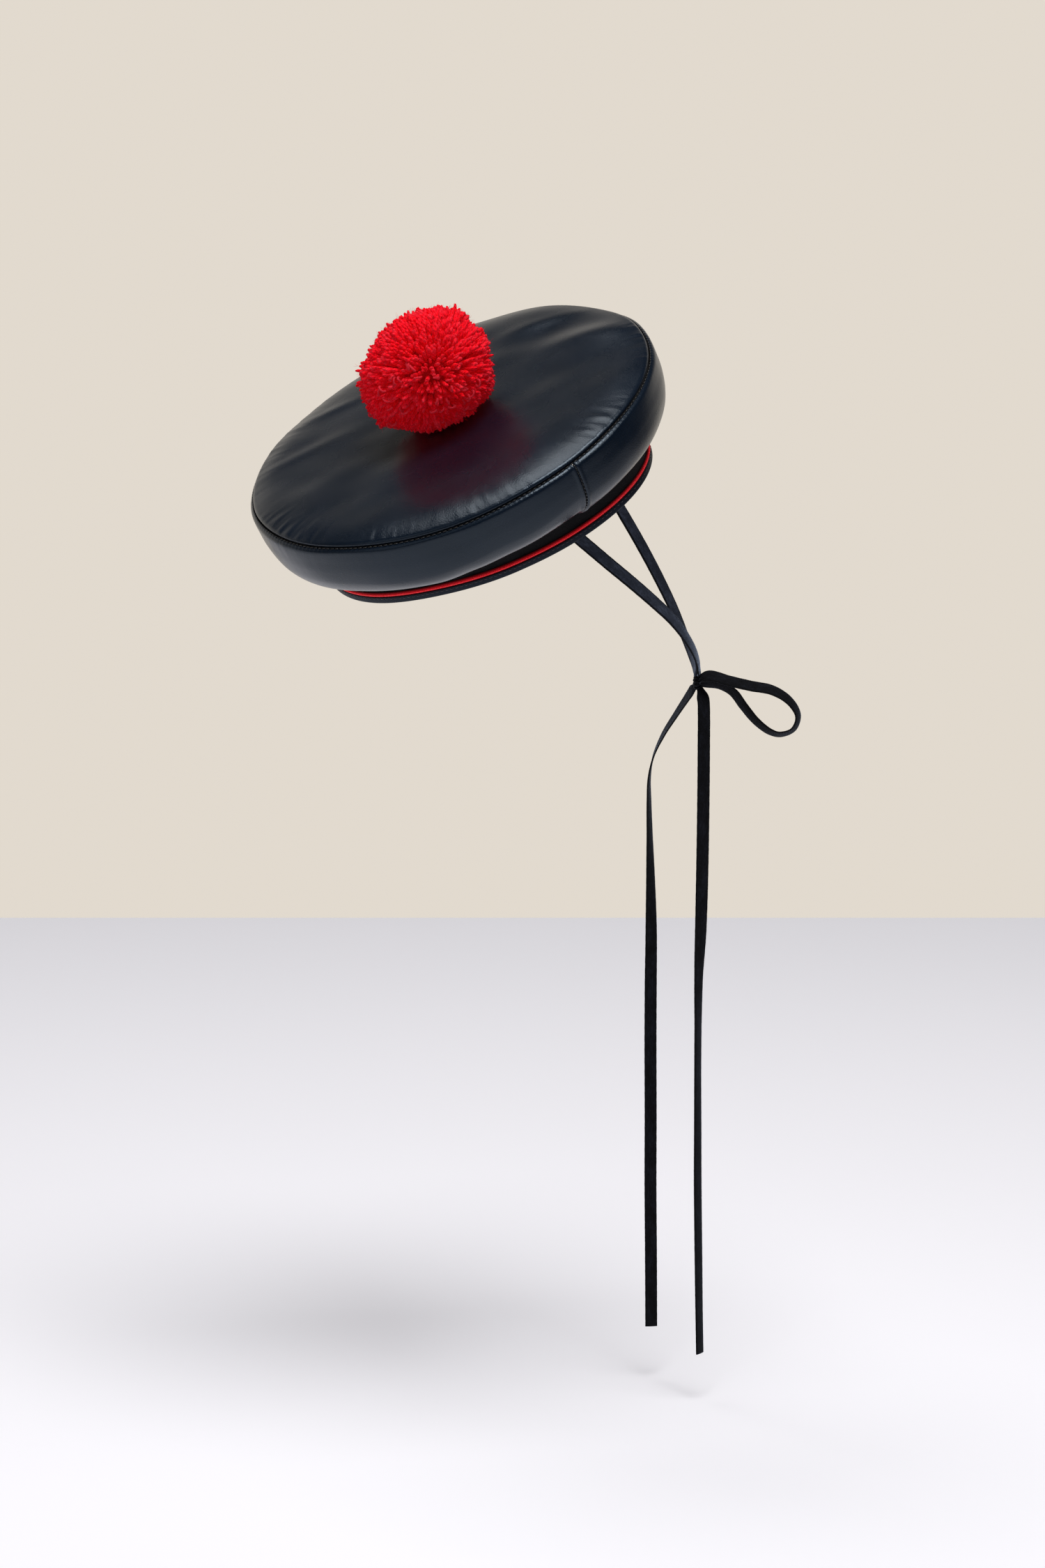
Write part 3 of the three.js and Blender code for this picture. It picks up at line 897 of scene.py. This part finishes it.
def pompom_curls(materials, direction, reach, rng):
    """Single plies that have come loose and curl over the cut ends, more of them low on the pompom."""
    shape = Shape()
    ring = circle(6)
    height = (direction @ HAT_TURN.T)[:, 2]
    odds = smoothstep(-height, -0.5, 0.5) + 0.15
    for i in rng.choice(len(direction), CURLS, replace=False, p=odds / odds.sum()):
        d = direction[i]
        if d[2] < -0.7:
            continue
        way = unit(np.cross(d, rng.normal(0, 1, 3)))
        wide = rng.uniform(0.0014, 0.0022)
        sweep = np.linspace(-0.5, rng.uniform(3.0, 4.6), 12)
        line = POMPOM_MIDDLE + d * (reach[i] + 0.0005) + way * (wide * np.cos(sweep))[:, None]
        line += d * (0.7 * wide * np.sin(sweep))[:, None]
        side = np.cross(way, d)
        points = tube(line, side, np.cross(tangents(line), side), ring, CURL_RADIUS)
        shape.grid(points, ring, sweep, shade=CURL_SHADE, caps=True)
    shape.tip()
    return shape.to_object("pompom_curls", materials)


def pompom_core(materials):
    """The dense inside of the pompom, seen only between the strands and painted dark there as painted
    shade.
    """
    around = ring_angles(64)[None, :]
    down = np.linspace(0.06, math.pi - 0.06, 32)[:, None]
    flat = np.sin(down)
    direction = np.stack([flat * np.cos(around), flat * np.sin(around), np.cos(down) + 0 * around], -1)
    radius = POMPOM_CORE * (1 + 0.02 * np.sin(9 * around) * np.sin(7 * down))
    points = direction * radius[..., None]
    points[..., 2] = np.maximum(points[..., 2], CROWN_BELOW + 0.0008)
    shape = Shape()
    shape.grid(points + POMPOM_MIDDLE, around[0], down[:, 0], shade=HEART_PAINTED_SHADE, caps=True)
    shape.tip()
    return shape.to_object("pompom_heart", materials)


def pompom_fuzz(materials, direction, reach, rng, shade, lean):
    """Loose fibres that stand out of the cut yarn."""
    shape = Shape()
    picks = rng.integers(0, len(direction), FIBRES)
    ring = circle(3)
    rows = np.array([0.0, 0.5, 1.0])
    size = FIBRE_RADIUS * np.array([1, 0.8, 0.3])[:, None, None]
    for i in picks:
        start = unit(direction[i] + rng.normal(0, 0.05, 3)) * (reach[i] - 0.0012) + lean[i] * 0.9
        way = unit(direction[i] + rng.normal(0, 0.75, 3))
        curl = rng.normal(0, 0.5, 3)
        side = unit(np.cross(way, curl))
        length = rng.uniform(0.0012, 0.0030)
        line = start + length * (way * rows[:, None] + 0.4 * curl * rows[:, None] ** 2)
        if line[:, 2].min() < CROWN_BELOW + 0.0006:
            continue
        points = tube(line + POMPOM_MIDDLE, side, np.cross(way, side), ring, size)
        shape.grid(points, ring, rows, shade=shade[i], caps=True)
    shape.tip()
    return shape.to_object("pompom_fuzz", materials, recalculate=False)


def centripetal(points, per_span):
    """A smooth curve through points, and the row number at each place along it."""
    ends = np.vstack([2 * points[0] - points[1], points, 2 * points[-1] - points[-2]])
    curve, rows = [], []
    for i in range(len(points) - 1):
        p0, p1, p2, p3 = ends[i : i + 4]
        d0, d1, d2 = (math.sqrt(np.linalg.norm(b - a)) for a, b in ((p0, p1), (p1, p2), (p2, p3)))
        m1 = ((p1 - p0) / d0 - (p2 - p0) / (d0 + d1) + (p2 - p1) / d1) * d1
        m2 = ((p2 - p1) / d1 - (p3 - p1) / (d1 + d2) + (p3 - p2) / d2) * d1
        t = np.arange(per_span)[:, None] / per_span
        curve.append(p1 + m1 * t + (3 * (p2 - p1) - 2 * m1 - m2) * t**2 + (2 * (p1 - p2) + m1 + m2) * t**3)
        rows.append(i + t[:, 0])
    return np.vstack([*curve, points[-1:]]), np.append(np.concatenate(rows), len(points) - 1)


def ribbon_section():
    """Half a turn of the outline each way: a soft face, a flat back and slim edges."""
    half = RIBBON_WIDTH / 2
    across = np.array([1, 0.985, 0.93, 0.8, 0.5, 0.17, -0.17, -0.5, -0.8, -0.93, -0.985, -1])
    thick = np.array([0.12, 0.3, 0.42, 0.48, 0.5, 0.5, 0.5, 0.5, 0.48, 0.42, 0.3, 0.12])
    face = np.stack([across * half, thick * RIBBON_THICKNESS], -1)
    back = face[::-1] * (1, -1)
    return np.vstack([face, back])


def ribbon(name, route, node, material, knot_ends):
    """A tie. Its ends at the knot go on into it and are gathered there."""
    points = np.stack([route["x"], route["y"], route["z"]], -1)
    rolls = route["roll"]
    into = np.array(KNOT)
    if "first" in knot_ends:
        points = np.vstack([points[0] + (into - points[0]) * INTO_KNOT, points])
        rolls = np.append(rolls[0], rolls)
    if "last" in knot_ends:
        points = np.vstack([points, points[-1] + (into - points[-1]) * INTO_KNOT])
        rolls = np.append(rolls, rolls[-1])
    curve, rows = centripetal(points, 60)
    run = np.concatenate([[0], np.cumsum(np.linalg.norm(np.diff(curve, axis=0), axis=1))])
    length = float(run[-1])
    places = np.linspace(0, length, max(int(length / RIBBON_STEP), 2))
    middle = np.stack([np.interp(places, run, curve[:, a]) for a in range(3)], -1)
    along = tangents(middle)
    roll = np.radians(np.interp(np.interp(places, run, rows), np.arange(len(points)), rolls))[:, None]
    right = np.array([0, -1.0, 0])
    side = unit(right - along * (along @ right)[:, None])
    outward = np.cross(side, along)
    face = side * np.cos(roll) + outward * np.sin(roll)
    across = np.cross(face, along)
    section = ribbon_section()
    gather = np.zeros_like(places)
    if "first" in knot_ends:
        gather = np.maximum(gather, 1 - smoothstep(places, 0.001, GATHER_REACH))
    if "last" in knot_ends:
        gather = np.maximum(gather, 1 - smoothstep(length - places, 0.001, GATHER_REACH))
    wander = 0.00003 * np.sin(places * 900) + 0.00002 * np.sin(places * 2300 + 1)
    width = (1 - GATHER * gather) * (1 + 2 * wander / RIBBON_WIDTH)
    wide = section[None, :, :1] * width[:, None, None]
    share = section[:, 0] / (RIBBON_WIDTH / 2)
    cup = 0.00022 * share**2 - 0.0007 * gather[:, None] * np.cos(2.2 * math.pi * share)
    grid = middle[:, None] + across[:, None] * wide
    grid += face[:, None] * (section[None, :, 1] - cup)[..., None]
    u = np.concatenate([[0], np.cumsum(np.hypot(*np.diff(section, axis=0).T))])
    shape = Shape()
    shape.grid(grid, u, places, caps=True)
    piece = shape.to_object(name, [material], [node])


def bow_knot(material):
    """Turns of ribbon pulled tight round the straps."""
    shape = Shape()
    around = circle(40)
    ring = circle(14)
    flat = np.stack([np.cos(around), np.sin(around), 0 * around], -1)
    turns = table(
        "height_mm tilt_x tilt_y long_mm wide_mm thick_mm tall_mm",
        (2.9, 0.10, -0.16, 0.9, 2.6, 0.9, 1),
        (1.2, -0.08, 0.10, 1.1, 3, 1, 1.1),
        (-0.6, 0.05, 0.12, 1.1, 3.1, 1, 1.1),
        (-2.5, 0.02, 0.18, 0.9, 2.6, 0.9, 1),
    )
    for height, tilt_x, tilt_y, long, wide, thick, tall in zip(*turns.values()):
        middle = flat * (long, wide, 0)
        middle[:, 2] = height + tilt_x * middle[:, 0] + tilt_y * middle[:, 1]
        crease = 1 + 0.10 * np.cos(3 * ring) + 0.05 * np.sin(5 * around)[:, None]
        points = tube(middle, flat * thick, np.array([0, 0, tall]), ring, crease[..., None])
        shape.grid(points + KNOT, ring * 0.001, around * 0.003, closed=True)
    down = np.linspace(0.12, math.pi - 0.12, 14)[:, None, None]
    core = np.sin(down) * flat * (0.0015, 0.0031, 0) + np.cos(down) * (0, 0, KNOT_HALF_HEIGHT * 0.98)
    shape.grid(core + KNOT, around * 0.002, down[:, 0, 0] * 0.003, caps=True)
    return shape.to_object("knot_wraps", [material], ["bow_knot"])


def new_material(name, color, roughness, **sockets):
    item = bpy.data.materials.new(name)
    item.use_nodes = True
    shader = item.node_tree.nodes["Principled BSDF"]
    shader.inputs["Base Color"].default_value = (*color, 1)
    shader.inputs["Roughness"].default_value = roughness
    for socket, value in sockets.items():
        shader.inputs[socket.replace("_", " ")].default_value = value
    return item, item.node_tree, shader


def node(tree, kind, inputs=(), **settings):
    made = tree.nodes.new("ShaderNode" + kind)
    for key, value in settings.items():
        setattr(made, key, value)
    for socket, value in dict(inputs).items():
        if isinstance(value, bpy.types.NodeSocket):
            tree.links.new(value, made.inputs[socket])
        else:
            made.inputs[socket].default_value = value
    return made


def coordinates(tree, kind="Object"):
    return node(tree, "TexCoord").outputs[kind]


def noise(tree, where, size, detail=3.0, rough=0.55):
    """Noise whose features are about the given size in metres."""
    inputs = {"Vector": where, "Scale": 1 / size, "Detail": detail, "Roughness": rough}
    return node(tree, "TexNoise", inputs).outputs["Fac"]


def bands(tree, inputs, direction):
    made = node(tree, "TexWave", inputs, wave_type="BANDS", bands_direction=direction)
    return made.outputs["Fac"]


def product(tree, first, second):
    return node(tree, "Math", {0: first, 1: second}, operation="MULTIPLY").outputs[0]


def mapped(tree, value, low, high, to_low, to_high):
    inputs = {"Value": value, "From Min": low, "From Max": high, "To Min": to_low, "To Max": to_high}
    return node(tree, "MapRange", inputs, interpolation_type="SMOOTHSTEP").outputs["Result"]


def mixed_color(tree, share, first, second):
    made = node(tree, "Mix", data_type="RGBA")
    for socket, value in (("Factor", share), ("A", first), ("B", second)):
        kind = "Float" if socket == "Factor" else "Color"
        target = next(s for s in made.inputs if s.name == socket and s.identifier.endswith(kind))
        if isinstance(value, bpy.types.NodeSocket):
            tree.links.new(value, target)
        else:
            target.default_value = value if kind == "Float" else (*value, 1)
    return next(s for s in made.outputs if s.identifier.endswith("Color"))


def set_tone(tree, shader, tone, glow=0):
    """Gives a surface its colour, and has it give off a share of that colour by itself: a painted glow."""
    tree.links.new(tone, shader.inputs["Base Color"])
    if glow:
        tree.links.new(tone, shader.inputs["Emission Color"])
        shader.inputs["Emission Strength"].default_value = glow


def bump(tree, shader, height, distance, strength=1.0, over=None):
    inputs = {"Height": height, "Distance": distance, "Strength": strength}
    if over is not None:
        inputs["Normal"] = over
    made = node(tree, "Bump", inputs)
    tree.links.new(made.outputs["Normal"], shader.inputs["Normal"])
    return made.outputs["Normal"]


def leather_material(name, color, light, roughness, gloss=0.4, grain=0.00006):
    tint = (0.72, 0.86, 1.0, 1)
    item, tree, shader = new_material(name, color, roughness, Specular_IOR_Level=gloss, Specular_Tint=tint)
    where = coordinates(tree)
    cloud = noise(tree, where, 0.045, 2)
    set_tone(tree, shader, mixed_color(tree, mapped(tree, cloud, 0.35, 0.65, 0, 1), color, light))
    rough = mapped(tree, noise(tree, where, 0.03, 2), 0.3, 0.7, roughness - 0.015, roughness + 0.025)
    tree.links.new(rough, shader.inputs["Roughness"])
    cells = {"Vector": where, "Scale": 1 / 0.0014}
    cells = node(tree, "TexVoronoi", cells, feature="DISTANCE_TO_EDGE").outputs["Distance"]
    first = bump(tree, shader, mapped(tree, cells, 0, 0.35, 0, 1), grain, 0.42)
    bump(tree, shader, noise(tree, where, 0.0013, 3, 0.5), grain * 2, 0.28, over=first)
    return item


def inside_material():
    item, tree, shader = new_material("leather_back", (0.022, 0.021, 0.022), 0.92)
    bump(tree, shader, noise(tree, coordinates(tree), 0.0012, 5, 0.7), 0.0003)
    return item


def cloth_material(name, color, light, size=0.0006):
    item, tree, shader = new_material(name, color, 0.85, Specular_IOR_Level=0.15, Sheen_Weight=0.04)
    threads = {"Vector": coordinates(tree, "UV"), "Scale": 0.31 / size}
    weave = product(tree, bands(tree, threads, "X"), bands(tree, threads, "Y"))
    set_tone(tree, shader, mixed_color(tree, weave, color, light))
    bump(tree, shader, weave, 0.00012, 0.8)
    return item


def braid_material():
    dark, bright = (0.70, 0.004, 0.008), (1.0, 0.030, 0.045)
    item, tree, shader = new_material("red_braid_thread", bright, 0.5, Specular_IOR_Level=0.25)
    where = coordinates(tree)
    fine = noise(tree, where, 0.0007, 3)
    rib = node(tree, "Attribute", attribute_name="shade").outputs["Fac"]
    tone = mixed_color(tree, mapped(tree, fine, 0.3, 0.7, 0, 1), dark, bright)
    # Painted highlight and shade: the rib attribute keeps the crest of the rib bright and turns its edges,
    # the beads and the back dark red.
    tone = mixed_color(tree, mapped(tree, rib, 0.35, 0.9, 0, 1), (0.16, 0.001, 0.003), tone)
    set_tone(tree, shader, tone, BRAID_PAINTED_GLOW)
    bump(tree, shader, noise(tree, where, 0.0004, 2), 0.0001, 0.6)
    return item


def wool_material():
    sockets = {"Specular_IOR_Level": 0.05, "Sheen_Weight": 0.1, "Sheen_Tint": (1.0, 0.25, 0.3, 1)}
    item, tree, shader = new_material("red_wool", (0.6, 0.01, 0.03), 0.95, **sockets)
    shade = node(tree, "Attribute", attribute_name="shade").outputs["Fac"]
    # The ramp turns the shade attribute into reds: its low end is the dark red of the painted shade at the
    # strand roots and on the heart.
    ramp = node(tree, "ValToRGB", {"Fac": product(tree, shade, 0.7)})
    stops = ramp.color_ramp.elements
    stops[0].position, stops[0].color = 0.18, (0.38, 0.0, 0.002, 1)
    stops[1].position, stops[1].color = 0.96, (1.0, 0.03, 0.055, 1)
    for place, color in ((0.5, (0.97, 0.001, 0.007, 1)), (0.72, (1.0, 0.004, 0.018, 1))):
        stops.new(place).color = color
    where = coordinates(tree)
    fibre = noise(tree, where, 0.0006, 4, 0.7)
    # Painted highlight: sparse pale pink streaks, laid over the red by noise.
    pale = mapped(tree, fibre, 0.5, 0.75, 0, 0.6)
    tone = mixed_color(tree, pale, ramp.outputs["Color"], (1.0, 0.10, 0.14))
    plies = {"Vector": coordinates(tree, "UV"), "Scale": PLY_SCALE, "Distortion": 0.8, "Detail": 2}
    ply = bands(tree, plies, "DIAGONAL")
    # Painted shade: the grooves between the plies are painted darker.
    tone = mixed_color(tree, mapped(tree, ply, 0, 0.4, 0.32, 0), tone, (0.30, 0.0, 0.002))
    set_tone(tree, shader, tone, WOOL_PAINTED_GLOW)
    first = bump(tree, shader, ply, 0.0004, 0.7)
    bump(tree, shader, noise(tree, where, 0.00045, 4, 0.75), 0.0003, 0.7, over=first)
    return item


def velvet_material(name, dark, light, sheen):
    """Brushed pile between smooth dark selvedges. U runs across the face, then across the back."""
    sockets = {"Sheen_Weight": sheen, "Sheen_Roughness": 0.3, "Sheen_Tint": (0.5, 0.6, 0.8, 1)}
    item, tree, shader = new_material(name, dark, 0.85, Specular_IOR_Level=0.12, **sockets)
    where = coordinates(tree, "UV")
    brushed = node(tree, "Mapping", {"Vector": where, "Scale": (1.0, 0.25, 1.0)}).outputs["Vector"]
    streak = noise(tree, brushed, 0.0008, 4, 0.7)
    slow = node(tree, "Mapping", {"Vector": where, "Scale": (1.0, 0.4, 1.0)}).outputs["Vector"]
    patch = noise(tree, slow, 0.006, 2)
    share = mapped(tree, product(tree, streak, patch), 0.16, 0.42, 0, 1)
    pile = mixed_color(tree, share, dark, light)
    across = node(tree, "SeparateXYZ", {"Vector": where}).outputs["X"]
    inward = node(tree, "Math", {0: across, 1: RIBBON_WIDTH / 2}, operation="PINGPONG").outputs[0]
    inside = mapped(tree, inward, SELVEDGE * 0.8, SELVEDGE * 1.2, 0, 1)
    set_tone(tree, shader, mixed_color(tree, inside, (0.0022, 0.0022, 0.003), pile))
    first = bump(tree, shader, streak, 0.0002, 0.6)
    bump(tree, shader, noise(tree, coordinates(tree), 0.0003, 2), 0.0002, 0.5, over=first)
    return item


def thread_material(name, color):
    item, tree, shader = new_material(name, color, 0.45)
    bump(tree, shader, noise(tree, coordinates(tree), 0.0004, 2), 0.0001, 0.6)
    return item


def make_floor():
    mesh = bpy.data.meshes.new("floor")
    left, right = -FLOOR_SIDE, FLOOR_SIDE
    corners = ((left, FLOOR_FRONT), (right, FLOOR_FRONT), (right, FLOOR_BACK), (left, FLOOR_BACK))
    mesh.from_pydata([(x, y, FLOOR_HEIGHT) for x, y in corners], [], [(0, 1, 2, 3)])
    sockets = {"Specular_IOR_Level": 0.1, "Emission_Color": (0.86, 0.85, 0.90, 1)}
    item, tree, shader = new_material("pale_floor", (0.86, 0.85, 0.89), 0.9, **sockets)
    # Painted light: the floor gives off light of its own, little at the front, rising from y = -1.2 m to
    # -0.2 m, and fading out between x = 0.5 m and 1.1 m.
    place = node(tree, "SeparateXYZ", {"Vector": coordinates(tree)})
    front = mapped(tree, place.outputs["Y"], -1.2, -0.2, 0.02, 0.28)
    fade = mapped(tree, place.outputs["X"], 0.5, 1.1, 1.0, 0.0)
    tree.links.new(product(tree, front, fade), shader.inputs["Emission Strength"])
    mesh.materials.append(item)
    floor = add_object("floor", mesh)


def area_light(name, place, target, side, radiance, color=(1, 1, 1)):
    data = bpy.data.lights.new(name, "AREA")
    data.shape = "SQUARE"
    data.size = side
    data.energy = radiance * math.pi * side * side
    data.color = color
    light = add_object(name, data)
    light.location = place
    light.rotation_mode = "QUATERNION"
    light.rotation_quaternion = (Vector(target) - Vector(place)).to_track_quat("-Z", "Y")


def make_light():
    world = bpy.data.worlds.new("studio")
    bpy.context.scene.world = world
    world.use_nodes = True
    tree = world.node_tree
    way = node(tree, "SeparateXYZ", {"Vector": coordinates(tree, "Generated")})
    level = {"X": way.outputs["X"], "Y": way.outputs["Y"]}
    level = node(tree, "CombineXYZ", level).outputs["Vector"]
    level = node(tree, "VectorMath", {0: level}, operation="NORMALIZE").outputs["Vector"]
    lobe = {0: level, 1: (math.sin(BACKDROP_TURN), math.cos(BACKDROP_TURN), 0)}
    back = node(tree, "VectorMath", lobe, operation="DOT_PRODUCT").outputs["Value"]
    low = mixed_color(tree, mapped(tree, back, 0.3, 0.85, 0, 1), FRONT_TONE, BACKDROP_TONE)
    color = mixed_color(tree, mapped(tree, way.outputs["Z"], 0.28, 0.74, 0, 1), low, UPPER_TONE)
    tree.links.new(color, tree.nodes["Background"].inputs["Color"])
    area_light("overhead_back", (-0.65, 0.45, 2.2), (-0.1, 0, 0), 0.9, 4.4, (1, 0.99, 0.98))
    area_light("overhead_front", (0.15, -0.75, 2.2), (0, 0, 0), 1.1, 11)
    area_light("overhead_right", (1.1, -0.9, 2.0), (0, 0, 0), 1.3, 2.6)
    area_light("fill_left", (-2.2, -1.8, 1.3), (0, 0, 0), 2.2, 0.45)


bpy.context.scene.view_settings.view_transform = "Standard"
make_camera()
velvet = velvet_material("black_velvet", (0.0025, 0.0025, 0.0035), (0.009, 0.010, 0.015), 0.25)
# The straps' velvet is the black velvet painted lighter and bluer, with more sheen: painted light and
# sheen where the straps face up to the lamps.
strap_velvet = velvet_material("strap_velvet", (0.020, 0.024, 0.036), (0.050, 0.060, 0.088), 0.7)
knot = bow_knot(velvet)
ribbon("ribbon_strap_right", STRAP_RIGHT, "strap_right", strap_velvet, ["last"])
ribbon("ribbon_strap_left", STRAP_LEFT, "strap_left", strap_velvet, ["last"])
ribbon("ribbon_loop", BOW_LOOP, "bow_loop", velvet, ["first", "last"])
ribbon("ribbon_tail_right", TAIL_RIGHT, "tail_right", velvet, ["first"])
ribbon("ribbon_tail_left", TAIL_LEFT, "tail_left", velvet, ["first"])

crown_leather = leather_material("navy_leather", (0.0011, 0.0046, 0.0112), (0.0022, 0.0062, 0.0142), 0.27)
back_of_leather = inside_material()
crown_top([crown_leather, back_of_leather])
crown_side([crown_leather, back_of_leather])
black_thread = thread_material("black_thread", (0.004, 0.004, 0.005))
seam_stitches([black_thread])
joint_stitches([black_thread])
headband([cloth_material("black_cloth", (0.006, 0.006, 0.007), (0.016, 0.016, 0.018))])
band_binding([leather_material("binding_navy", (0.003, 0.005, 0.011), (0.005, 0.007, 0.015), 0.5, 0.22)])
# The topstitch thread is navy, painted lighter than the binding: a painted sheen for the glints on the
# stitches.
binding_stitches([thread_material("navy_thread", (0.03, 0.034, 0.045))])
red_braid([braid_material()])
pompom([wool_material()])
make_floor()
make_light()
